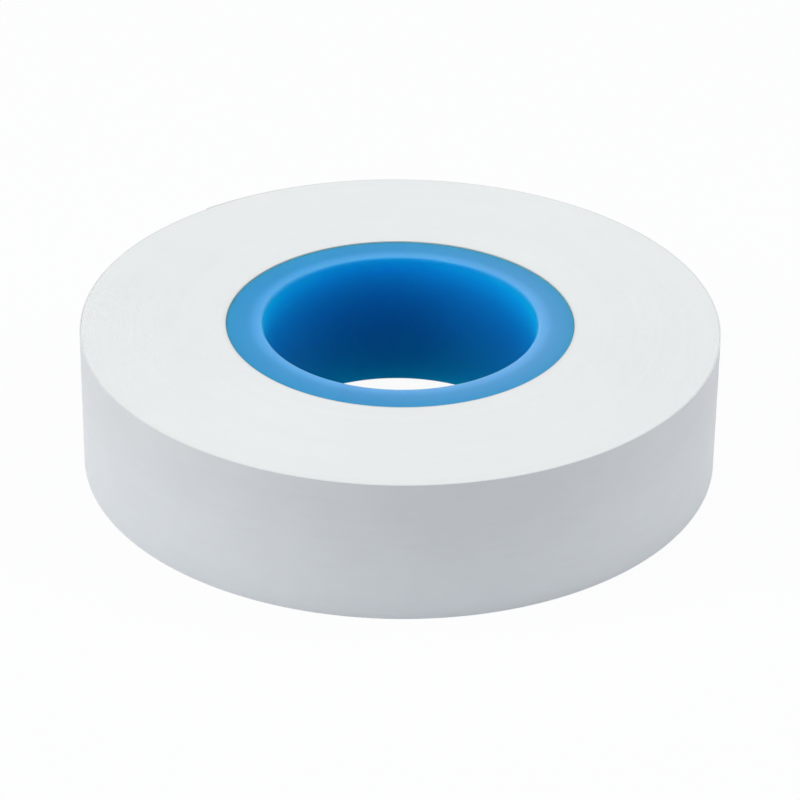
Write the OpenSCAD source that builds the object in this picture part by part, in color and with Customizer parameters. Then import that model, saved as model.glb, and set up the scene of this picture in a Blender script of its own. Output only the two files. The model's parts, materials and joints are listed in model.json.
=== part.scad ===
// Roll of electrical tape lying flat: a moulded core with one long adhesive strip wound on it.
// Millimetres, +Z up. The origin is where the axis of the bore meets the plane that the roll rests on.

/* [Tape] */
// Width of the tape, which is also the height of the roll
tape_w = 19; // [12:0.5:50]
// Thickness of the plastic film
film_t = 0.16; // [0.1:0.01:0.25]
// Thickness of the adhesive coat on the inner side of the film
adhesive_t = 0.03; // [0.02:0.005:0.06]
// Length of tape wound on the core
tape_length = 20000; // [5000:500:33000]

/* [Core] */
// Outside diameter of the core
core_d = 45.1; // [30:0.1:80]
// Wall of the core, between the tape and the bore that a spindle passes through
core_wall = 4.85; // [1.5:0.05:8]
// Height of the lower end of the core above the lower edge of the tape
core_recess = 0.3; // [0:0.1:2]
// Radius of the rounded edges of the bore
bore_edge_r = 0.6; // [0.2:0.1:1.5]
// Radius of the rounded edges of the core next to the tape
outer_edge_r = 0.15; // [0.1:0.05:0.6]
// Fall of each end face of the core, from the edge of the bore to the tape
crown_fall = 0.1; // [0.05:0.05:0.5]

/* [Free end] */
// Length of the free end that peels off the roll
free_end_length = 25; // [10:1:60]
// Angle of the cut edge round the roll, anticlockwise from +X seen from above
free_end_angle = 130; // [0:5:355]
// Gap between the free end and the turns next to it
free_end_gap = 0.05; // [0.02:0.01:0.2]

/* [Hidden] */

// Facets of a full circle
round_fn = 180;
// Steps along each arc of the core's outline
arc_steps = 10;
full_turn = 360;
half_turn = full_turn / 2;
quarter_turn = full_turn / 4;
degrees_per_radian = half_turn / PI;

core_blue = "#4a9cdb";
film_white = "#e9eded";
adhesive_grey = "#cfd3cd";

// Core: its edges are rounded by no more than their share of the wall
core_r = core_d / 2;
bore_r = core_r - core_wall;
bore_edge_share = 1 / 3;
outer_edge_share = 1 / 6;
bore_edge = min(bore_edge_r, core_wall * bore_edge_share);
outer_edge = min(outer_edge_r, core_wall * outer_edge_share);
core_low = core_recess;
core_top = tape_w;

// Each end face is a shallow arc, highest where it meets the rounded edge of the bore
crest_r = bore_r + bore_edge;
crown_run = core_r - crest_r;
crown_r = (crown_run ^ 2 + crown_fall ^ 2) / (2 * crown_fall);

// The rounded outer edge touches both that arc and the outside of the core
edge_centre_r = core_r - outer_edge;
edge_run = edge_centre_r - crest_r;
edge_drop = crown_r - sqrt((crown_r - outer_edge) ^ 2 - edge_run ^ 2);
edge_angle = acos(edge_run / (crown_r - outer_edge));

// The strip lies in a spiral that gains one layer in a turn: half a turn round the bore's axis,
// then half a turn round a centre that is half a layer further out
layer_t = film_t + adhesive_t;
half_layer = layer_t / 2;
bond_r = core_r + adhesive_t;
roll_r = sqrt(core_r ^ 2 + tape_length * layer_t / PI);
pack_r = roll_r - layer_t - half_layer;

// The last turn: fixed up to the root of the free end, and free from there to its cut edge
root_r = pack_r + half_layer + layer_t + free_end_gap;
free_end_sweep = free_end_length / root_r * degrees_per_radian;
root_gap_sweep = free_end_gap / root_r * degrees_per_radian;
root_angle = full_turn - free_end_sweep;
fixed_sweep = root_angle - root_gap_sweep;

// Points of an arc round a centre, leaving out the first if the arc before it ends there
function arc_points(centre, r, from, to, first = 1) = [
    for (i = [first:arc_steps])
        let (angle = from + (to - from) * i / arc_steps)
            centre + r * [cos(angle), sin(angle)]
];

// Outline of one end of the core from the bore to the outside, as radius and height over the crest
end_outline = concat(
    arc_points([crest_r, -bore_edge], bore_edge, half_turn, quarter_turn, first = 0),
    arc_points([crest_r, -crown_r], crown_r, quarter_turn, edge_angle),
    arc_points([edge_centre_r, -edge_drop], outer_edge, edge_angle, 0)
);

function turned_over(points) = [for (i = [len(points) - 1:-1:0]) [points[i].x, -points[i].y]];

core_outline = concat(
    [for (p = end_outline) p + [0, core_top]],
    [for (p = turned_over(end_outline)) p + [0, core_low]]
);

// Half of the pack of inner turns: 0 for the half turn round the bore's axis, 1 for the other
module half_pack(half) {
    r = pack_r + half * half_layer;
    translate([half * half_layer, 0])
        rotate(half * half_turn)
            intersection() {
                circle(r, $fn = round_fn);
                translate([-2 * r, 0])
                    square([4 * r, 2 * r]);
            }
}

// A stretch of one layer of the last turn, at a height above the pack, within one half of the spiral
module layer_stretch(half, height, thickness, from, to) {
    translate([half * half_layer, 0, 0])
        rotate(from)
            rotate_extrude(angle = to - from, $fn = round_fn)
                translate([pack_r + half * half_layer + height, 0])
                    square([thickness, tape_w]);
}

// The stretch of a layer that is stuck down, from the start of the last turn to the free end's root
module fixed_layer(height, thickness) {
    layer_stretch(0, height, thickness, 0, half_turn);
    layer_stretch(1, height, thickness, half_turn, fixed_sweep);
}

// The stretch of a layer in the free end
module free_layer(height, thickness) {
    layer_stretch(1, free_end_gap + height, thickness, root_angle, full_turn);
}

// Moulded plastic core
module core() {
    color(core_blue)
        rotate_extrude($fn = round_fn)
            polygon(core_outline);
}

// Adhesive coat that holds the first turn on the core
module core_bond() {
    color(adhesive_grey)
        linear_extrude(tape_w)
            difference() {
                circle(bond_r, $fn = round_fn);
                circle(core_r, $fn = round_fn);
            }
}

// All the turns under the last one, as one pack
module wound_tape() {
    color(film_white)
        rotate(free_end_angle)
            linear_extrude(tape_w)
                difference() {
                    union() {
                        half_pack(0);
                        half_pack(1);
                    }
                    circle(bond_r, $fn = round_fn);
                }
}

// Film of the last turn, as far as it is stuck down
module outer_turn() {
    color(film_white)
        rotate(free_end_angle)
            fixed_layer(adhesive_t, film_t);
}

// Adhesive coat under the film of the last turn
module outer_turn_adhesive() {
    color(adhesive_grey)
        rotate(free_end_angle)
            fixed_layer(0, adhesive_t);
}

// Film of the free end, which peels away about its root
module free_end() {
    color(film_white)
        rotate(free_end_angle)
            free_layer(adhesive_t, film_t);
}

// Adhesive coat under the film of the free end
module free_end_adhesive() {
    color(adhesive_grey)
        rotate(free_end_angle)
            free_layer(0, adhesive_t);
}

// Middle of the film of the last turn at an angle from its start
function turn_point(angle) =
    let (half = angle < half_turn ? 0 : 1)
        let (r = pack_r + half * half_layer + adhesive_t + film_t / 2)
            [half * half_layer + r * cos(angle), r * sin(angle)];

// Least gap of the last turn to itself, between points at least half a turn apart
gap_steps = 144;
turn_points = [for (i = [0:gap_steps]) turn_point(fixed_sweep * i / gap_steps)];
turn_gap = min([
    for (i = [0:gap_steps / 2])
        for (j = [i + gap_steps / 2:gap_steps])
            norm(turn_points[i] - turn_points[j]) - film_t
]);
echo(str("Least gap of the last turn to itself, mm: ", turn_gap));

// Where the free end turns, on its outer face
root_direction = root_angle + free_end_angle;
root_x = half_layer * cos(free_end_angle) + root_r * cos(root_direction);
root_y = half_layer * sin(free_end_angle) + root_r * sin(root_direction);
echo(str("Root of the free end, mm: ", [root_x, root_y]));
echo(str("Outside diameter, mm: ", 2 * roll_r, ", turns: ", (roll_r - core_r) / layer_t));

core();
core_bond();
wound_tape();
outer_turn();
outer_turn_adhesive();
free_end();
free_end_adhesive();
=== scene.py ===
"""Roll of electrical tape: a blue moulded core, the white strip wound on it and the strip's free end."""

import json
import math

import bmesh
import bpy
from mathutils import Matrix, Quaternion, Vector


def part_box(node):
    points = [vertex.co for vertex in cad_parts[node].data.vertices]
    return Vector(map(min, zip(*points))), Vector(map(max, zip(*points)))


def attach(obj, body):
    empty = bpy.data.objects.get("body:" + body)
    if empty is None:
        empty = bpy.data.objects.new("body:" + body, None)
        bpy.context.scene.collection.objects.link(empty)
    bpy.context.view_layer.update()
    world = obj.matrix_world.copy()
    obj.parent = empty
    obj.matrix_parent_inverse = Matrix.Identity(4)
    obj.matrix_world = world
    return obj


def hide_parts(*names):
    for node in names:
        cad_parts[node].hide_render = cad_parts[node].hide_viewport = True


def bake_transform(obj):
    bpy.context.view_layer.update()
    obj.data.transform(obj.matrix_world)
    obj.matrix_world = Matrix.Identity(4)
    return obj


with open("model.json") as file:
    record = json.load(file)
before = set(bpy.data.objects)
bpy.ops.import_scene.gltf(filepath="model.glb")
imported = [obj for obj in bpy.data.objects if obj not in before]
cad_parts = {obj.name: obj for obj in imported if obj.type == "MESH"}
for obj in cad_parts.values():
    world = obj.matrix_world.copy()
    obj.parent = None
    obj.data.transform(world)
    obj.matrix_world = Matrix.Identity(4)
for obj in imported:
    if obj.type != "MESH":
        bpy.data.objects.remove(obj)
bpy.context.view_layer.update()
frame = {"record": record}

bl_info = {
    "name": "Electrical Tape Roll",
    "version": (1, 0, 0),
    "blender": (4, 5, 0),
    "location": "View3D > Sidebar > Tape Roll",
    "description": "Models a roll of electrical tape from its core to its free end",
    "category": "Add Mesh",
}

# The imported model: its box and the bore that a spindle passes through
CORE_LOW, CORE_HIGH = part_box("core")
PACK_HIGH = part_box("wound_tape")[1]
MOUNTS = {mount["name"]: mount for mount in frame["record"]["mounts"]}

MM = 0.001
FULL_TURN = 2 * math.pi
HALF_TURN = math.pi
QUARTER_TURN = math.pi / 2

# Spin turns the other way round its axis than the right hand does
SPIN_UP = (0, 0, -1)
SPIN_OUTLINE = (0, -1, 0)

# Points nearer than this are one point
WELD = 0.002 * MM

# Steps of a full turn: the pack's points lie on every second one of the film's
PACK_STEPS = 144
FILM_STEPS = 288
CORE_STEPS = 288

# Steps of the arcs in the core's outline
BORE_EDGE_STEPS = 12
CROWN_STEPS = 10
OUTER_EDGE_STEPS = 8

# Steps of the free end: where it bends, and from there to the cut edge
BEND_STEPS = 24
LIFT_STEPS = 36

# Steps of a rounded corner on the coat next to the core and on the layers of the last turn
BOND_CORNER_STEPS = 2
STRIP_CORNER_STEPS = 3

# Faces that meet at less than this angle are shaded as one
CORE_SMOOTHING = math.radians(30)
STRIP_SMOOTHING = math.radians(40)
PACK_SMOOTHING = math.radians(25)

# The stage: the width of the floor, the soft light from all round and the camera's sensor in millimetres
FLOOR_WIDTH = 8
ROOM_COLOUR = (0.88, 0.94, 1.0)
ROOM_STRENGTH = 0.2
SENSOR_WIDTH = 36

# Sockets of a node that mixes colours, by their place because other kinds share their names
MIX_SHARE = 0
MIX_FIRST = 6
MIX_SECOND = 7
MIX_RESULT = 2


class TapeRollSizes(bpy.types.PropertyGroup):
    """Sizes of the core, the strip and its free end"""

    tape_width: bpy.props.FloatProperty(
        name="Tape width",
        description="Width of the strip, which is also the height of the roll",
        default=PACK_HIGH.z,
        min=12 * MM,
        max=50 * MM,
        unit="LENGTH",
    )
    film_thickness: bpy.props.FloatProperty(
        name="Film thickness",
        description="Thickness of the plastic film",
        default=0.16 * MM,
        min=0.1 * MM,
        max=0.25 * MM,
        unit="LENGTH",
    )
    coat_thickness: bpy.props.FloatProperty(
        name="Adhesive thickness",
        description="Thickness of the adhesive coat on the inner side of the film",
        default=0.03 * MM,
        min=0.02 * MM,
        max=0.06 * MM,
        unit="LENGTH",
    )
    tape_length: bpy.props.FloatProperty(
        name="Tape length",
        description="Length of the strip wound on the core",
        default=20,
        min=5,
        max=33,
        unit="LENGTH",
    )
    edge_rounding: bpy.props.FloatProperty(
        name="Film edge rounding",
        description="Rounding of the film's cut edges on the outer turn",
        default=0.03 * MM,
        min=0.01 * MM,
        max=0.05 * MM,
        unit="LENGTH",
    )
    groove_width: bpy.props.FloatProperty(
        name="Groove width",
        description="Width of the groove between two turns on the faces of the roll",
        default=0.05 * MM,
        min=0.02 * MM,
        max=0.08 * MM,
        unit="LENGTH",
    )
    groove_depth: bpy.props.FloatProperty(
        name="Groove depth",
        description="Depth of the groove between two turns on the faces of the roll",
        default=0.02 * MM,
        min=0,
        max=0.06 * MM,
        unit="LENGTH",
    )
    core_diameter: bpy.props.FloatProperty(
        name="Core diameter",
        description="Outside diameter of the core",
        default=2 * CORE_HIGH.x,
        min=30 * MM,
        max=80 * MM,
        unit="LENGTH",
    )
    bore_diameter: bpy.props.FloatProperty(
        name="Bore diameter",
        description="Diameter of the bore that a spindle passes through",
        default=2 * MOUNTS["spindle_bore"]["dims"]["r_mm"] * MM,
        min=20 * MM,
        max=70 * MM,
        unit="LENGTH",
    )
    core_recess: bpy.props.FloatProperty(
        name="Core recess",
        description="Height of the core's lower end above the lower edge of the strip",
        default=CORE_LOW.z,
        min=0,
        max=2 * MM,
        unit="LENGTH",
    )
    bore_edge_radius: bpy.props.FloatProperty(
        name="Bore edge radius",
        description="Radius of the rounded edges of the bore",
        default=0.6 * MM,
        min=0.2 * MM,
        max=1.5 * MM,
        unit="LENGTH",
    )
    outer_edge_radius: bpy.props.FloatProperty(
        name="Outer edge radius",
        description="Radius of the rounded edges of the core next to the strip",
        default=0.15 * MM,
        min=0.1 * MM,
        max=0.6 * MM,
        unit="LENGTH",
    )
    crown_fall: bpy.props.FloatProperty(
        name="Crown fall",
        description="Fall of each end face of the core, from the edge of the bore to the strip",
        default=0.1 * MM,
        min=0.05 * MM,
        max=0.5 * MM,
        unit="LENGTH",
    )
    free_end_length: bpy.props.FloatProperty(
        name="Free end length",
        description="Length of the free end that peels off the roll",
        default=25 * MM,
        min=10 * MM,
        max=60 * MM,
        unit="LENGTH",
    )
    free_end_angle: bpy.props.FloatProperty(
        name="Free end angle",
        description="Angle of the cut edge round the roll, anticlockwise from +X seen from above",
        default=math.radians(130),
        min=0,
        max=FULL_TURN,
        subtype="ANGLE",
    )
    free_end_lift: bpy.props.FloatProperty(
        name="Free end lift",
        description="Height of the cut edge above the turn below it",
        default=0.04 * MM,
        min=0,
        max=2 * MM,
        unit="LENGTH",
    )
    peel_length: bpy.props.FloatProperty(
        name="Peel bend length",
        description="Length of strip that takes up the bend when the free end is peeled",
        default=2.5 * MM,
        min=1 * MM,
        max=8 * MM,
        unit="LENGTH",
    )


class TapeRollColours(bpy.types.PropertyGroup):
    """Colours of the core, the strip and the floor"""

    core_blue: bpy.props.FloatVectorProperty(
        name="Core blue",
        description="Colour of the moulded core",
        default=(0.005, 0.28, 0.605),
        min=0,
        max=1,
        subtype="COLOR",
    )
    # Painted glow: the paler ends next to the bore stand in for light that comes through the plastic
    painted_glow_rim_blue: bpy.props.FloatVectorProperty(
        name="Rim blue",
        description="Paler colour of the core's ends next to the bore, where light comes through",
        default=(0.04, 0.36, 0.755),
        min=0,
        max=1,
        subtype="COLOR",
    )
    # Painted shade: the deep colour down the bore stands in for the little light that reaches there
    painted_shade_bore_blue: bpy.props.FloatVectorProperty(
        name="Bore blue",
        description="Deep colour of the core half way down the bore, where little light comes through",
        default=(0.0, 0.15, 0.335),
        min=0,
        max=1,
        subtype="COLOR",
    )
    # Painted glow: the bright colour at the bore's edges stands in for light that comes through the plastic
    painted_glow_blue: bpy.props.FloatVectorProperty(
        name="Glow blue",
        description="Bright colour of the core at the edge of the bore, where light comes through",
        default=(0.0, 0.65, 1.0),
        min=0,
        max=1,
        subtype="COLOR",
    )
    film_white: bpy.props.FloatVectorProperty(
        name="Film white",
        description="Colour of the plastic film",
        default=(0.81, 0.83, 0.83),
        min=0,
        max=1,
        subtype="COLOR",
    )
    coat_grey: bpy.props.FloatVectorProperty(
        name="Adhesive grey",
        description="Colour of the adhesive coat",
        default=(0.68, 0.685, 0.63),
        min=0,
        max=1,
        subtype="COLOR",
    )
    # The darker line on the strip's edges next to the core
    seam_grey: bpy.props.FloatVectorProperty(
        name="Seam grey",
        description="Colour of the line of adhesive next to the core",
        default=(0.33, 0.31, 0.28),
        min=0,
        max=1,
        subtype="COLOR",
    )
    floor_white: bpy.props.FloatVectorProperty(
        name="Floor white",
        description="Colour of the floor",
        default=(0.785, 0.80, 0.85),
        min=0,
        max=1,
        subtype="COLOR",
    )


class TapeRollStage(bpy.types.PropertyGroup):
    """Place, aim and lens of the camera"""

    view_elevation: bpy.props.FloatProperty(
        name="View elevation",
        description="Angle of the camera above the floor",
        default=math.radians(29.4),
        subtype="ANGLE",
    )
    view_distance: bpy.props.FloatProperty(
        name="View distance",
        description="Distance of the camera from the middle of the roll",
        default=465.2 * MM,
        unit="LENGTH",
    )
    view_roll: bpy.props.FloatProperty(
        name="View roll",
        description="Turn of the camera about its own line of sight",
        default=math.radians(0.627),
        subtype="ANGLE",
    )
    aim_below: bpy.props.FloatProperty(
        name="Aim below",
        description="How far below the middle of the roll the camera aims",
        default=2.0 * MM,
        unit="LENGTH",
    )
    aim_right: bpy.props.FloatProperty(
        name="Aim right",
        description="How far to the right of the middle of the roll the camera aims",
        default=0.09 * MM,
        unit="LENGTH",
    )
    focal_length: bpy.props.FloatProperty(
        name="Focal length",
        description="Focal length of the lens, in millimetres",
        default=160.17,
        unit="CAMERA",
    )


class Winding:
    """Radii and angles of the strip, worked out from the sizes.

    The strip lies in a spiral that gains one layer in a turn: half a turn round the bore's axis, then half
    a turn round a centre that is half a layer further out.
    """

    def __init__(self, sizes):
        self.layer = sizes.film_thickness + sizes.coat_thickness
        self.half_layer = self.layer / 2
        self.coat_rounding = sizes.coat_thickness / 3
        self.core_r = sizes.core_diameter / 2
        self.bond_r = self.core_r + sizes.coat_thickness
        self.roll_r = math.sqrt(self.core_r ** 2 + sizes.tape_length * self.layer / math.pi)
        self.pack_r = self.roll_r - self.layer - self.half_layer
        self.inner_turns = math.ceil((self.pack_r - self.bond_r) / self.layer) + 1
        self.second_centre = Vector((self.half_layer, 0, 0))
        self.second_r = self.pack_r + self.half_layer
        self.free_sweep = sizes.free_end_length / (self.second_r + self.layer)
        self.root_angle = FULL_TURN - self.free_sweep


# Modelling steps that several pieces share


def clear_selection():
    """Leaves edit mode and deselects everything, the loaded nodes too."""
    if bpy.context.mode != "OBJECT":
        bpy.ops.object.mode_set(mode="OBJECT")
    bpy.ops.object.select_all(action="DESELECT")


def start_section(name, inner, outer, low, high):
    """Adds a plane as an upright section between two radii and two heights, and keeps its outline."""
    clear_selection()
    middle = ((inner + outer) / 2, 0, (low + high) / 2)
    bpy.ops.mesh.primitive_plane_add(size=1, location=middle, rotation=(QUARTER_TURN, 0, 0))
    section = bpy.context.object
    section.name = name
    section.data.name = name
    section.scale = (outer - inner, high - low, 1)
    bpy.ops.object.transform_apply(location=True, rotation=True, scale=True)
    bpy.ops.object.mode_set(mode="EDIT")
    bpy.ops.mesh.select_all(action="SELECT")
    bpy.ops.mesh.delete(type="ONLY_FACE")
    return section


def start_outline(name, radius, height):
    """Adds a plane and merges it to the point from which an upright outline is drawn."""
    clear_selection()
    bpy.ops.mesh.primitive_plane_add(size=MM, location=(radius, 0, height))
    outline = bpy.context.object
    outline.name = name
    outline.data.name = name
    bpy.ops.object.transform_apply(location=True, rotation=True, scale=True)
    bpy.ops.object.mode_set(mode="EDIT")
    bpy.ops.mesh.select_all(action="SELECT")
    bpy.ops.mesh.merge(type="CENTER")
    return outline


def draw_line(rise):
    """Draws an upright line on from the outline's last point."""
    bpy.ops.mesh.extrude_vertices_move(TRANSFORM_OT_translate={"value": (0, 0, rise)})


def draw_arc(radius, height, angle, steps):
    """Draws an arc on from the outline's last point, clockwise round a centre."""
    bpy.ops.mesh.spin(steps=steps, angle=angle, center=(radius, 0, height), axis=SPIN_OUTLINE)


def select_where(piece, test):
    """Selects the points of the mesh in edit mode that pass a test of their place."""
    mesh = bmesh.from_edit_mesh(piece.data)
    for point in mesh.verts:
        point.select = test(point.co)
    mesh.select_flush_mode()
    bmesh.update_edit_mesh(piece.data)


def fill_section():
    """Fills the whole outline with one face."""
    bpy.ops.mesh.select_all(action="SELECT")
    bpy.ops.mesh.edge_face_add()


def round_corners(radius, segments):
    """Rounds the corners of a section."""
    bpy.ops.mesh.select_all(action="SELECT")
    bpy.ops.mesh.bevel(affect="VERTICES", offset=radius, segments=segments)


def spin_ring(steps):
    """Spins the outline once round the axis of the bore."""
    bpy.ops.mesh.select_all(action="SELECT")
    bpy.ops.mesh.spin(steps=steps, angle=FULL_TURN, center=(0, 0, 0), axis=SPIN_UP)


def wind(winding, sweep, steps_per_turn):
    """Winds what is selected along the spiral: half a turn, then the rest round the second centre."""
    half_steps = steps_per_turn // 2
    bpy.ops.mesh.spin(steps=half_steps, angle=HALF_TURN, center=(0, 0, 0), axis=SPIN_UP)
    rest = sweep - HALF_TURN
    rest_steps = round(steps_per_turn * rest / FULL_TURN)
    bpy.ops.mesh.spin(steps=rest_steps, angle=rest, center=winding.second_centre, axis=SPIN_UP)


def press_outwards(piece, radius):
    """Presses what lies within a radius of the bore's axis out to that radius, as a core would."""
    bpy.ops.object.mode_set(mode="OBJECT")
    press = piece.modifiers.new("press", "CAST")
    press.cast_type = "CYLINDER"
    press.radius = radius
    press.use_radius_as_size = True
    press.factor = 1.0
    bpy.ops.object.modifier_apply(modifier=press.name)
    bpy.ops.object.mode_set(mode="EDIT")


def finish_mesh(piece, smooth_angle):
    """Welds and closes the mesh, points its faces outwards and shades its round stretches smooth."""
    bpy.ops.mesh.select_all(action="SELECT")
    bpy.ops.mesh.remove_doubles(threshold=WELD)
    bpy.ops.mesh.fill_holes(sides=0)
    bpy.ops.mesh.normals_make_consistent(inside=False)
    bpy.ops.object.mode_set(mode="OBJECT")
    bpy.ops.object.shade_smooth_by_angle(angle=smooth_angle)


def turn_into_place(piece, angle, centre=(0, 0, 0)):
    """Turns a finished mesh about the bore's axis and shifts it, and puts both into the mesh."""
    piece.rotation_euler.z = angle
    piece.location = centre
    bpy.ops.object.transform_apply(location=True, rotation=True, scale=True)


def finish_piece(piece, material, node):
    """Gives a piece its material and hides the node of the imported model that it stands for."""
    piece.data.materials.append(material)
    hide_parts(node)


# Nodes


def add_node(tree, kind, inputs=None, **settings):
    """Adds a node with its settings; each input takes a value or a link."""
    made = tree.nodes.new(kind)
    for name, value in settings.items():
        setattr(made, name, value)
    for name, value in (inputs or {}).items():
        if isinstance(value, bpy.types.NodeSocket):
            tree.links.new(value, made.inputs[name])
        else:
            made.inputs[name].default_value = value
    return made


def add_math(tree, operation, *values):
    """Adds a math node on values or links, and returns its result."""
    return add_node(tree, "ShaderNodeMath", dict(enumerate(values)), operation=operation).outputs[0]


def add_range(tree, value, low, high, to_low, to_high):
    """Maps a value smoothly from one range to another."""
    inputs = {"Value": value, "From Min": low, "From Max": high, "To Min": to_low, "To Max": to_high}
    ranged = add_node(tree, "ShaderNodeMapRange", inputs, interpolation_type="SMOOTHSTEP")
    return ranged.outputs["Result"]


def add_fade(tree, distance, scale):
    """Falls from one towards nought over a distance, by the same share on each stretch."""
    return add_math(tree, "EXPONENT", add_math(tree, "MULTIPLY", distance, -1 / scale))


def add_mix(tree, share, first, second):
    """Mixes two colours by a share."""
    inputs = {MIX_SHARE: share, MIX_FIRST: first, MIX_SECOND: second}
    return add_node(tree, "ShaderNodeMix", inputs, data_type="RGBA").outputs[MIX_RESULT]


def add_tint(tree, colour, tone):
    """Multiplies a colour by a tone."""
    tinted = add_node(tree, "ShaderNodeVectorMath", {0: colour, "Scale": tone}, operation="SCALE")
    return tinted.outputs["Vector"]


def start_group(name, inputs, outputs):
    """Starts a shader node group with named sockets."""
    group = bpy.data.node_groups.new(name, "ShaderNodeTree")
    for socket_name, kind in inputs.items():
        group.interface.new_socket(socket_name, in_out="INPUT", socket_type=kind)
    for socket_name, kind in outputs.items():
        group.interface.new_socket(socket_name, in_out="OUTPUT", socket_type=kind)
    given = add_node(group, "NodeGroupInput").outputs
    result = add_node(group, "NodeGroupOutput").inputs
    return group, given, result


def grain_group():
    """Fine uneven grain of a moulded or rolled plastic surface."""
    name = "Plastic grain"
    if name in bpy.data.node_groups:
        return bpy.data.node_groups[name]
    sockets = {"Position": "NodeSocketVector", "Grain size": "NodeSocketFloat"}
    group, given, result = start_group(name, sockets, {"Height": "NodeSocketFloat"})
    scale = add_math(group, "DIVIDE", 1.0, given["Grain size"])
    noise_inputs = {"Vector": given["Position"], "Scale": scale, "Detail": 3.0, "Roughness": 0.6}
    noise = add_node(group, "ShaderNodeTexNoise", noise_inputs)
    group.links.new(noise.outputs["Fac"], result["Height"])
    return group


def drift_group():
    """Slow change of tone over a surface, from dark to light about one."""
    name = "Tone drift"
    if name in bpy.data.node_groups:
        return bpy.data.node_groups[name]
    sockets = {
        "Position": "NodeSocketVector",
        "Patch size": "NodeSocketFloat",
        "Amount": "NodeSocketFloat",
    }
    group, given, result = start_group(name, sockets, {"Tone": "NodeSocketFloat"})
    scale = add_math(group, "DIVIDE", 1.0, given["Patch size"])
    noise_inputs = {"Vector": given["Position"], "Scale": scale, "Detail": 2.0, "Roughness": 0.5}
    noise = add_node(group, "ShaderNodeTexNoise", noise_inputs)
    centred = add_math(group, "SUBTRACT", noise.outputs["Fac"], 0.5)
    change = add_math(group, "MULTIPLY", centred, given["Amount"])
    tone = add_math(group, "ADD", change, 1.0)
    group.links.new(tone, result["Tone"])
    return group


def ring_group():
    """Distance from the axis of the bore."""
    name = "Ring position"
    if name in bpy.data.node_groups:
        return bpy.data.node_groups[name]
    group, given, result = start_group(
        name, {"Position": "NodeSocketVector"}, {"Radius": "NodeSocketFloat"}
    )
    flat_inputs = {0: given["Position"], 1: (1, 1, 0)}
    flat = add_node(group, "ShaderNodeVectorMath", flat_inputs, operation="MULTIPLY")
    length = add_node(group, "ShaderNodeVectorMath", {0: flat.outputs["Vector"]}, operation="LENGTH")
    group.links.new(length.outputs["Value"], result["Radius"])
    return group


def use_group(tree, group, output, **inputs):
    """Places a group in a material and returns one of its outputs."""
    named = {name.replace("_", " ").capitalize(): value for name, value in inputs.items()}
    placed = add_node(tree, "ShaderNodeGroup", named, node_tree=group)
    return placed.outputs[output]


def start_material(name):
    """Starts a material with its shader and the piece's own coordinates."""
    material = bpy.data.materials.new(name)
    material.use_nodes = True
    tree = material.node_tree
    shader = tree.nodes["Principled BSDF"]
    position = add_node(tree, "ShaderNodeTexCoord").outputs["Object"]
    return material, tree, shader, position


def set_shader(shader, **values):
    """Sets numbers that are the same all over the surface on the shader's own sockets."""
    for name, value in values.items():
        shader.inputs[name.replace("_", " ")].default_value = value


def bump(tree, shader, height, distance, strength):
    """Raises a surface by a height between 0 and 1."""
    inputs = {"Height": height, "Distance": distance, "Strength": strength}
    made = add_node(tree, "ShaderNodeBump", inputs)
    tree.links.new(made.outputs["Normal"], shader.inputs["Normal"])


def opaque(colour):
    """A colour with full alpha."""
    return (*colour, 1.0)


# Materials


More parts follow.
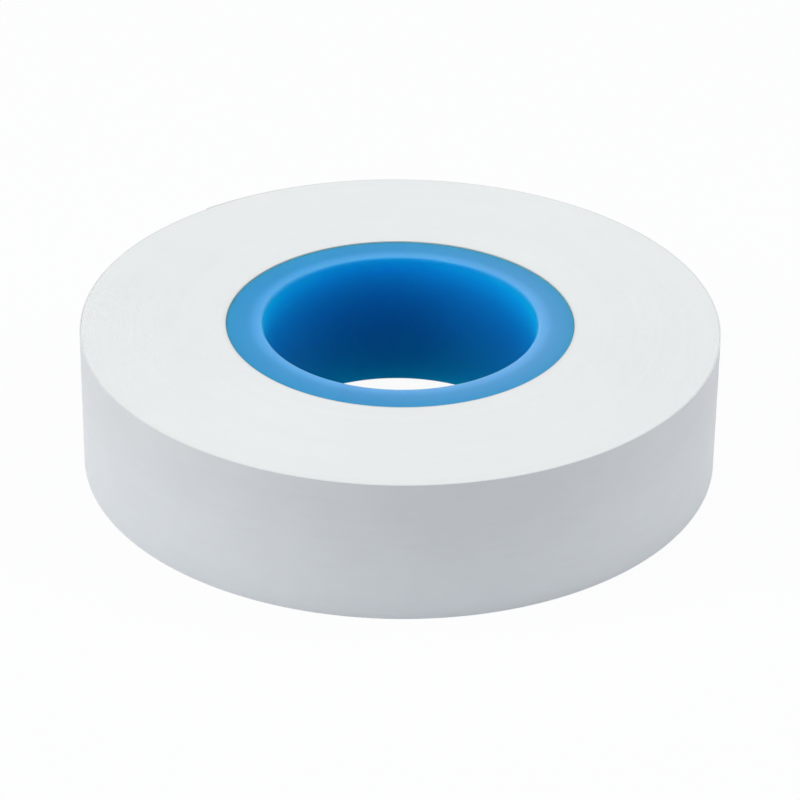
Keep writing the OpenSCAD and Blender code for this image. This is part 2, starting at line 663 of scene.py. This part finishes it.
def blue_core():
    """Blue moulded plastic, a little translucent: painted glow makes it pale next to the bore's edge, and
    painted shade makes it deep down in the bore.
    """
    name = "blue_core"
    if name in bpy.data.materials:
        return bpy.data.materials[name]
    sizes = bpy.context.scene.tape_roll_sizes
    colours = bpy.context.scene.tape_roll_colours
    material, tree, shader, position = start_material(name)
    bore_r = sizes.bore_diameter / 2
    core_r = sizes.core_diameter / 2
    crest_r = bore_r + sizes.bore_edge_radius
    radius = use_group(tree, ring_group(), "Radius", position=position)
    height = add_node(tree, "ShaderNodeSeparateXYZ", {"Vector": position}).outputs["Z"]
    # Painted glow and painted shade: the colour is bright at the ends of the bore and darkens down it,
    # standing in for light that comes in at the ends and dies away, red soonest and blue last, and less of
    # it at the lower end
    depth = add_math(tree, "SUBTRACT", sizes.tape_width, height)
    rise = add_math(tree, "SUBTRACT", height, sizes.core_recess)
    lower_reach = 2.5 * MM
    lower = add_fade(tree, rise, lower_reach)
    # Painted shade: the rounded edge faces the light, so the painted glow is darkened there
    edge_top = 0.1 * MM
    edge_bottom = 0.9 * MM
    channels = {}
    for channel, index, reach, gain, lower_share, edge_shade_share in (
        ("Red", 0, 2.0 * MM, 1.0, 0.56, 0.54),
        ("Green", 1, 3.4 * MM, 1.0, 0.56, 0.54),
        ("Blue", 2, 5.7 * MM, 1.3, 0.42, 0.72),
    ):
        upper = add_math(tree, "MULTIPLY", add_fade(tree, depth, reach), gain)
        painted_glow = add_math(tree, "MULTIPLY_ADD", lower, lower_share, add_math(tree, "MINIMUM", upper, 1.0))
        deep = colours.painted_shade_bore_blue[index]
        colour = add_math(tree, "MULTIPLY_ADD", painted_glow, colours.painted_glow_blue[index] - deep, deep)
        painted_edge_shade = add_range(tree, depth, edge_top, edge_bottom, edge_shade_share, 1.0)
        channels[channel] = add_math(tree, "MULTIPLY", colour, painted_edge_shade)
    bore = add_node(tree, "ShaderNodeCombineColor", channels).outputs["Color"]
    # Painted glow: the ends are paler next to the bore, standing in for light that comes through the plastic
    # there
    rim_end_r = bore_r + 2.4 * MM
    painted_glow_near_bore = add_range(tree, radius, crest_r, rim_end_r, 1.0, 0.0)
    face = add_mix(tree, painted_glow_near_bore, opaque(colours.core_blue), opaque(colours.painted_glow_rim_blue))
    bore_end_r = bore_r + 0.12 * MM
    face_start_r = bore_r + 0.3 * MM
    on_face = add_range(tree, radius, bore_end_r, face_start_r, 0.0, 1.0)
    blue = add_mix(tree, on_face, bore, face)
    tone = use_group(tree, drift_group(), "Tone", position=position, patch_size=9 * MM, amount=0.08)
    tree.links.new(add_tint(tree, blue, tone), shader.inputs["Base Color"])
    # Painted sheen: the coat on the ends is heaviest next to the bore and on one side, standing in for the
    # reflection of the light that falls on that side
    painted_sheen_side = math.radians(310)
    outer_painted_sheen = 0.4
    towards = Vector((math.cos(painted_sheen_side), math.sin(painted_sheen_side), 0)) / core_r
    side_inputs = {0: position, 1: towards}
    side = add_node(tree, "ShaderNodeVectorMath", side_inputs, operation="DOT_PRODUCT").outputs["Value"]
    painted_sheen_side_share = add_math(tree, "MULTIPLY_ADD", side, 0.5, 0.5)
    end_painted_sheen = add_range(tree, radius, crest_r, core_r, 1.0, outer_painted_sheen)
    end_painted_sheen = add_math(tree, "MULTIPLY", end_painted_sheen, painted_sheen_side_share)
    # A little gloss goes all round along the edge of the bore
    crest_polish = 0.2
    crest_end_r = crest_r + 0.8 * MM
    edge_polish = add_range(tree, radius, crest_r, crest_end_r, crest_polish, 0.0)
    sheen_and_edge_gloss = add_math(tree, "ADD", end_painted_sheen, edge_polish)
    tree.links.new(add_math(tree, "MULTIPLY", sheen_and_edge_gloss, on_face), shader.inputs["Coat Weight"])
    # The ends are smoother than the bore
    bore_roughness = 0.6
    end_roughness = 0.32
    roughness = add_range(tree, radius, bore_r, crest_r, bore_roughness, end_roughness)
    tree.links.new(add_math(tree, "MULTIPLY", tone, roughness), shader.inputs["Roughness"])
    grain = use_group(tree, grain_group(), "Height", position=position, grain_size=0.35 * MM)
    bump(tree, shader, grain, distance=0.02 * MM, strength=0.15)
    set_shader(
        shader,
        Specular_IOR_Level=0.1,
        Coat_Roughness=0.2,
        Subsurface_Weight=1.0,
        Subsurface_Radius=(0.05, 0.5, 1.0),
        Subsurface_Scale=3 * MM,
    )
    return material


def white_film():
    """White plastic film, satin, with faint streaks along its length."""
    name = "white_film"
    if name in bpy.data.materials:
        return bpy.data.materials[name]
    sizes = bpy.context.scene.tape_roll_sizes
    colours = bpy.context.scene.tape_roll_colours
    material, tree, shader, position = start_material(name)
    # Streaks run along the strip, so their pattern is squeezed across it
    squeeze = 6
    stretched = add_node(tree, "ShaderNodeMapping", {"Vector": position, "Scale": (1, 1, squeeze)})
    lengthwise = stretched.outputs["Vector"]
    patches = use_group(
        tree, drift_group(), "Tone", position=position, patch_size=6 * MM, amount=0.05
    )
    streaks = use_group(
        tree, drift_group(), "Tone", position=lengthwise, patch_size=5 * MM, amount=0.04
    )
    # Painted light and shade: the film is lighter towards its lower edge and darker towards its upper edge,
    # standing in for light thrown up from the floor
    lower_painted_light = 1.065
    upper_painted_shade = 0.955
    height = add_node(tree, "ShaderNodeSeparateXYZ", {"Vector": position}).outputs["Z"]
    painted_light_slope = add_range(tree, height, 0.0, sizes.tape_width, lower_painted_light, upper_painted_shade)
    tone = add_math(tree, "MULTIPLY", add_math(tree, "MULTIPLY", patches, streaks), painted_light_slope)
    white = add_tint(tree, tuple(colours.film_white), tone)
    tree.links.new(white, shader.inputs["Base Color"])
    film_roughness = 0.6
    roughness = add_math(tree, "MULTIPLY", streaks, film_roughness)
    tree.links.new(roughness, shader.inputs["Roughness"])
    grain = use_group(tree, grain_group(), "Height", position=lengthwise, grain_size=0.5 * MM)
    bump(tree, shader, grain, distance=0.01 * MM, strength=0.15)
    set_shader(shader, Specular_IOR_Level=0.25)
    return material


def tape_edges():
    """The strip's cut edges, turn beside turn: film with a thin line of adhesive in each groove."""
    name = "tape_edges"
    if name in bpy.data.materials:
        return bpy.data.materials[name]
    sizes = bpy.context.scene.tape_roll_sizes
    colours = bpy.context.scene.tape_roll_colours
    material, tree, shader, position = start_material(name)
    groove = add_node(tree, "ShaderNodeAttribute", attribute_name="groove").outputs["Fac"]
    line_share = 0.5
    line = add_math(tree, "MULTIPLY", groove, line_share)
    face = add_mix(tree, line, opaque(colours.film_white), opaque(colours.coat_grey))
    radius = use_group(tree, ring_group(), "Radius", position=position)
    # A darker grey line shows all round on the strip's edges next to the core
    seam_width = 0.15 * MM
    seam_share = 0.45
    outside = add_math(tree, "SUBTRACT", radius, sizes.core_diameter / 2)
    seam = add_math(tree, "MULTIPLY", add_fade(tree, outside, seam_width), seam_share)
    face = add_mix(tree, seam, face, opaque(colours.seam_grey))
    # Bands of turns differ a little in tone, and each band changes slowly on its way round
    round_share = 0.02
    slow = add_node(tree, "ShaderNodeMapping", {"Vector": position, "Scale": (round_share,) * 3})
    ring_position = add_node(tree, "ShaderNodeCombineXYZ", {"X": radius}).outputs["Vector"]
    ring_position = add_node(
        tree, "ShaderNodeVectorMath", {0: ring_position, 1: slow.outputs["Vector"]}, operation="ADD"
    ).outputs["Vector"]
    bands = use_group(
        tree, drift_group(), "Tone", position=ring_position, patch_size=0.7 * MM, amount=0.04
    )
    patches = use_group(
        tree, drift_group(), "Tone", position=position, patch_size=7 * MM, amount=0.03
    )
    tone = add_math(tree, "MULTIPLY", bands, patches)
    tree.links.new(add_tint(tree, face, tone), shader.inputs["Base Color"])
    edge_roughness = 0.5
    roughness = add_math(tree, "MULTIPLY", bands, edge_roughness)
    tree.links.new(roughness, shader.inputs["Roughness"])
    grain = use_group(tree, grain_group(), "Height", position=position, grain_size=0.2 * MM)
    bump(tree, shader, grain, distance=0.01 * MM, strength=0.15)
    return material


def adhesive_coat():
    """Tacky adhesive: pale, glossy and a little uneven."""
    name = "adhesive_coat"
    if name in bpy.data.materials:
        return bpy.data.materials[name]
    colours = bpy.context.scene.tape_roll_colours
    material, tree, shader, position = start_material(name)
    tone = use_group(tree, drift_group(), "Tone", position=position, patch_size=3 * MM, amount=0.1)
    tree.links.new(add_tint(tree, tuple(colours.coat_grey), tone), shader.inputs["Base Color"])
    coat_roughness = 0.22
    roughness = add_math(tree, "MULTIPLY", tone, coat_roughness)
    tree.links.new(roughness, shader.inputs["Roughness"])
    grain = use_group(tree, grain_group(), "Height", position=position, grain_size=0.8 * MM)
    bump(tree, shader, grain, distance=0.02 * MM, strength=0.3)
    return material


def shown_share(tree):
    """One where the camera, a reflection or a clear piece looks, and nought for light on the object."""
    path = add_node(tree, "ShaderNodeLightPath").outputs
    seen = add_math(tree, "MAXIMUM", path["Is Camera Ray"], path["Is Glossy Ray"])
    return add_math(tree, "MAXIMUM", seen, path["Is Transmission Ray"])


def floor_paint():
    """White floor that still shows the roll's soft shadow."""
    colours = bpy.context.scene.tape_roll_colours
    white_share = 0.94
    material = bpy.data.materials.new("floor_paint")
    material.use_nodes = True
    tree = material.node_tree
    tree.nodes.clear()
    paint = add_node(tree, "ShaderNodeBsdfDiffuse", {"Color": opaque(colours.floor_white)})
    white = add_node(tree, "ShaderNodeEmission", {"Strength": 1.0})
    share = add_math(tree, "MULTIPLY", shown_share(tree), white_share)
    mixed = add_node(
        tree, "ShaderNodeMixShader", {0: share, 1: paint.outputs[0], 2: white.outputs[0]}
    )
    add_node(tree, "ShaderNodeOutputMaterial", {"Surface": mixed.outputs[0]})
    return material


# Pieces


class TAPEROLL_OT_core(bpy.types.Operator):
    """Draws the outline of the moulded core with its rounded edges and spins it into a ring"""

    bl_idname = "tape_roll.core"
    bl_label = "Core"

    def execute(self, context):
        sizes = context.scene.tape_roll_sizes
        low = sizes.core_recess
        top = sizes.tape_width
        bore_r = sizes.bore_diameter / 2
        core_r = sizes.core_diameter / 2
        bore_edge = sizes.bore_edge_radius
        outer_edge = sizes.outer_edge_radius
        # Each end face is a shallow arc, highest where it meets the rounded edge of the bore
        crest_r = bore_r + bore_edge
        crown_run = core_r - crest_r
        crown_r = (crown_run ** 2 + sizes.crown_fall ** 2) / (2 * sizes.crown_fall)
        # The rounded outer edge touches both that arc and the outside of the core
        edge_centre_r = core_r - outer_edge
        edge_run = edge_centre_r - crest_r
        edge_drop = crown_r - math.sqrt((crown_r - outer_edge) ** 2 - edge_run ** 2)
        edge_sweep = math.acos(edge_run / (crown_r - outer_edge))
        crown_sweep = QUARTER_TURN - edge_sweep

        ring = start_outline("core_ring", bore_r, low + bore_edge)
        draw_line(top - low - 2 * bore_edge)
        draw_arc(crest_r, top - bore_edge, QUARTER_TURN, BORE_EDGE_STEPS)
        draw_arc(crest_r, top - crown_r, crown_sweep, CROWN_STEPS)
        draw_arc(edge_centre_r, top - edge_drop, edge_sweep, OUTER_EDGE_STEPS)
        draw_line(low - top + 2 * edge_drop)
        draw_arc(edge_centre_r, low + edge_drop, edge_sweep, OUTER_EDGE_STEPS)
        draw_arc(crest_r, low + crown_r, crown_sweep, CROWN_STEPS)
        draw_arc(crest_r, low + bore_edge, QUARTER_TURN, BORE_EDGE_STEPS)
        spin_ring(CORE_STEPS)
        finish_mesh(ring, CORE_SMOOTHING)
        finish_piece(ring, blue_core(), "core")
        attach(ring, "roll")
        return {"FINISHED"}


class TAPEROLL_OT_core_bond(bpy.types.Operator):
    """Spins the thin coat of adhesive that holds the first turn on the core"""

    bl_idname = "tape_roll.core_bond"
    bl_label = "Core bond"

    def execute(self, context):
        sizes = context.scene.tape_roll_sizes
        winding = Winding(sizes)
        coat = start_section("core_bond_coat", winding.core_r, winding.bond_r, 0, sizes.tape_width)
        round_corners(winding.coat_rounding, BOND_CORNER_STEPS)
        spin_ring(CORE_STEPS)
        finish_mesh(coat, STRIP_SMOOTHING)
        finish_piece(coat, adhesive_coat(), "core_bond")
        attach(coat, "roll")
        return {"FINISHED"}


class TAPEROLL_OT_pack(bpy.types.Operator):
    """Winds the inner turns as one pack, with a groove between each two turns on both faces"""

    bl_idname = "tape_roll.pack"
    bl_label = "Inner turns"

    def execute(self, context):
        sizes = context.scene.tape_roll_sizes
        winding = Winding(sizes)
        width = sizes.tape_width
        outer = winding.pack_r
        inner = outer - winding.inner_turns * winding.layer
        pack = start_section("tape_pack", inner, outer, 0, width)
        # Each face gets a point where two turns meet and two more on each turn between
        points_per_turn = 3
        for height in (0, width):
            select_where(pack, lambda place: abs(place.z - height) < WELD)
            bpy.ops.mesh.subdivide(number_cuts=winding.inner_turns - 1)
            bpy.ops.mesh.subdivide(number_cuts=points_per_turn - 1)
        spacing = winding.layer / points_per_turn

        def place_in_turn(place):
            return round((outer - place.x) / spacing) % points_per_turn

        shoulder_shift = spacing - sizes.groove_width / 2
        for order, shift in ((1, shoulder_shift), (2, -shoulder_shift)):
            select_where(pack, lambda place: place_in_turn(place) == order)
            bpy.ops.transform.translate(value=(shift, 0, 0))
        half_width = width / 2

        # The two innermost boundaries lie in the coat on the core and stay level
        level_boundaries = 2
        grooved_turns = winding.inner_turns + 0.5 - level_boundaries

        def in_groove(place):
            turns_in = (outer - place.x) / winding.layer
            near = abs(turns_in - round(turns_in)) * winding.layer < WELD
            return near and turns_in < grooved_turns

        for side, depth in ((1, -sizes.groove_depth), (-1, sizes.groove_depth)):
            select_where(pack, lambda place: in_groove(place) and (place.z - half_width) * side > 0)
            bpy.ops.transform.translate(value=(0, 0, depth))
        # Only the outline is wound, so that no section stays inside the pack
        bpy.ops.mesh.select_all(action="SELECT")
        wind(winding, FULL_TURN, PACK_STEPS)
        press_outwards(pack, winding.bond_r)
        finish_mesh(pack, PACK_SMOOTHING)
        # The bottom of each groove shows adhesive, but the pack's outer wall is plain film
        groove_z = half_width - sizes.groove_depth / 2

        def shows_adhesive(place):
            below_face = abs(place.z - half_width) < groove_z
            if place.y > 0:
                return below_face and place.xy.length < winding.pack_r - WELD
            return below_face and (place - winding.second_centre).xy.length < winding.second_r - WELD

        groove = pack.data.attributes.new("groove", "FLOAT", "POINT")
        groove.data.foreach_set(
            "value", [float(shows_adhesive(point.co)) for point in pack.data.vertices]
        )
        turn_into_place(pack, sizes.free_end_angle)
        finish_piece(pack, tape_edges(), "wound_tape")
        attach(pack, "roll")
        return {"FINISHED"}


class TAPEROLL_OT_outer_turn(bpy.types.Operator):
    """Winds the film of the last turn and the coat under it, as far as the strip is stuck down"""

    bl_idname = "tape_roll.outer_turn"
    bl_label = "Outer turn"

    def execute(self, context):
        sizes = context.scene.tape_roll_sizes
        winding = Winding(sizes)
        coat_r = winding.pack_r + sizes.coat_thickness
        layers = (
            ("outer_turn_coat", winding.pack_r, coat_r, winding.coat_rounding),
            ("outer_turn_film", coat_r, winding.pack_r + winding.layer, sizes.edge_rounding),
        )
        finishes = (
            (adhesive_coat, "adhesive", "outer_turn_adhesive"),
            (white_film, "tape_film", "outer_turn"),
        )
        for (name, inner, outer, rounding), (material, slot, node) in zip(layers, finishes):
            piece = start_section(name, inner, outer, 0, sizes.tape_width)
            round_corners(rounding, STRIP_CORNER_STEPS)
            fill_section()
            wind(winding, winding.root_angle, FILM_STEPS)
            finish_mesh(piece, STRIP_SMOOTHING)
            turn_into_place(piece, sizes.free_end_angle)
            finish_piece(piece, material(), node)
            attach(piece, "roll")
        return {"FINISHED"}


class TAPEROLL_OT_free_end(bpy.types.Operator):
    """Winds the free end of the strip, lifted a little at its cut edge, after a short stretch at its root
    that follows the roll
    """

    bl_idname = "tape_roll.free_end"
    bl_label = "Free end"

    def execute(self, context):
        sizes = context.scene.tape_roll_sizes
        winding = Winding(sizes)
        inner_r = winding.second_r
        coat_r = inner_r + sizes.coat_thickness
        outer_r = inner_r + winding.layer
        # The strip first follows the roll, where it will bend, and then a wider arc that lifts it
        bend_sweep = sizes.peel_length / outer_r
        flat_length = sizes.free_end_length - sizes.peel_length
        wide_r = 1 / (1 / outer_r - 2 * sizes.free_end_lift / flat_length ** 2)
        wide_sweep = flat_length / wide_r
        back = outer_r - wide_r
        wide_centre = (back * math.cos(bend_sweep), back * math.sin(bend_sweep), 0)
        # Where the strip leaves the roll
        turned = sizes.free_end_angle
        second_centre = winding.half_layer * Vector((math.cos(turned), math.sin(turned), 0))
        root = winding.root_angle + turned
        layers = (
            ("free_end_coat", inner_r, coat_r, winding.coat_rounding),
            ("free_end_film", coat_r, outer_r, sizes.edge_rounding),
        )
        finishes = (
            (adhesive_coat, "adhesive", "free_end_adhesive"),
            (white_film, "tape_film", "free_end"),
        )
        for (name, inner, outer, rounding), (material, slot, node) in zip(layers, finishes):
            piece = start_section(name, inner, outer, 0, sizes.tape_width)
            round_corners(rounding, STRIP_CORNER_STEPS)
            fill_section()
            bpy.ops.mesh.spin(steps=BEND_STEPS, angle=bend_sweep, center=(0, 0, 0), axis=SPIN_UP)
            bpy.ops.mesh.spin(steps=LIFT_STEPS, angle=wide_sweep, center=wide_centre, axis=SPIN_UP)
            finish_mesh(piece, STRIP_SMOOTHING)
            turn_into_place(piece, root, second_centre)
            finish_piece(piece, material(), node)
            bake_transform(piece)
        return {"FINISHED"}


class TAPEROLL_OT_stage(bpy.types.Operator):
    """Sets the white floor, the soft lights and the camera"""

    bl_idname = "tape_roll.stage"
    bl_label = "Floor, lights and camera"

    def execute(self, context):
        scene = context.scene
        scene.view_settings.view_transform = "Standard"
        self.lay_floor()
        self.light_world(scene)
        self.hang_lights()
        self.place_camera(scene)
        return {"FINISHED"}

    def lay_floor(self):
        """Lays the floor, which isn't part of the roll."""
        clear_selection()
        bpy.ops.mesh.primitive_plane_add(size=FLOOR_WIDTH)
        floor = bpy.context.object
        floor.name = "floor"
        floor.data.materials.append(floor_paint())

    def light_world(self, scene):
        """Fills the room with soft light, and shows it white."""
        scene.world = scene.world or bpy.data.worlds.new("studio")
        scene.world.use_nodes = True
        tree = scene.world.node_tree
        tree.nodes.clear()
        light_inputs = {"Color": opaque(ROOM_COLOUR), "Strength": ROOM_STRENGTH}
        light = add_node(tree, "ShaderNodeBackground", light_inputs)
        white = add_node(tree, "ShaderNodeBackground", {"Color": opaque((1, 1, 1)), "Strength": 1.0})
        mixed = add_node(
            tree,
            "ShaderNodeMixShader",
            {0: shown_share(tree), 1: light.outputs[0], 2: white.outputs[0]},
        )
        add_node(tree, "ShaderNodeOutputWorld", {"Surface": mixed.outputs[0]})

    def hang_lights(self):
        """Hangs the soft lights."""
        # Place, width and power of each light, all aimed at the floor under the middle of the roll
        lights = {
            "light_above": ((0.1, 0.15, 1.15), 1.2, 6.0),
            "light_left": ((-0.88, -0.25, 0.76), 0.8, 7.0),
            "light_right": ((0.9, -0.05, 0.8), 0.8, 4.6),
        }
        for name, (place, width, power) in lights.items():
            clear_selection()
            bpy.ops.object.light_add(type="AREA", location=place)
            light = bpy.context.object
            light.name = name
            light.data.shape = "SQUARE"
            light.data.size = width
            light.data.energy = power
            light.rotation_euler = (-Vector(place)).to_track_quat("-Z", "Y").to_euler()

    def place_camera(self, scene):
        """Places the camera in front of the roll and aims it."""
        stage = scene.tape_roll_stage
        middle = Vector((0, 0, scene.tape_roll_sizes.tape_width / 2))
        away = Vector((0, -math.cos(stage.view_elevation), math.sin(stage.view_elevation)))
        up = Vector((0, math.sin(stage.view_elevation), math.cos(stage.view_elevation)))
        clear_selection()
        bpy.ops.object.camera_add(location=middle + away * stage.view_distance)
        camera = bpy.context.object
        camera.name = "camera"
        target = middle - up * stage.aim_below + Vector((stage.aim_right, 0, 0))
        aim = target - camera.location
        level = aim.to_track_quat("-Z", "Y")
        roll = Quaternion((0, 0, 1), stage.view_roll)
        camera.rotation_euler = (level @ roll).to_euler()
        camera.data.sensor_width = SENSOR_WIDTH
        camera.data.lens = stage.focal_length
        scene.camera = camera


class TAPEROLL_PT_panel(bpy.types.Panel):
    """Lists the settings and the pieces of the roll"""

    bl_idname = "TAPEROLL_PT_panel"
    bl_label = "Tape Roll"
    bl_space_type = "VIEW_3D"
    bl_region_type = "UI"
    bl_category = "Tape Roll"

    def draw(self, context):
        for name, settings in SETTINGS.items():
            box = self.layout.box()
            group = getattr(context.scene, name)
            for setting in settings.__annotations__:
                box.prop(group, setting)
        for operator in OPERATORS:
            self.layout.operator(operator.bl_idname)


SETTINGS = {
    "tape_roll_sizes": TapeRollSizes,
    "tape_roll_colours": TapeRollColours,
    "tape_roll_stage": TapeRollStage,
}
OPERATORS = (
    TAPEROLL_OT_stage,
    TAPEROLL_OT_core,
    TAPEROLL_OT_core_bond,
    TAPEROLL_OT_pack,
    TAPEROLL_OT_outer_turn,
    TAPEROLL_OT_free_end,
)
CLASSES = (*SETTINGS.values(), *OPERATORS, TAPEROLL_PT_panel)


def register():
    """Registers the settings, the operators and the panel."""
    for made in CLASSES:
        bpy.utils.register_class(made)
    for name, group in SETTINGS.items():
        setattr(bpy.types.Scene, name, bpy.props.PointerProperty(type=group))


def unregister():
    """Takes back what register does."""
    for name in SETTINGS:
        delattr(bpy.types.Scene, name)
    for made in reversed(CLASSES):
        bpy.utils.unregister_class(made)


def main():
    """Makes the stage and every piece in order."""
    register()
    bpy.ops.tape_roll.stage()
    bpy.ops.tape_roll.core()
    bpy.ops.tape_roll.core_bond()
    bpy.ops.tape_roll.pack()
    bpy.ops.tape_roll.outer_turn()
    bpy.ops.tape_roll.free_end()


if __name__ == "__main__":
    main()
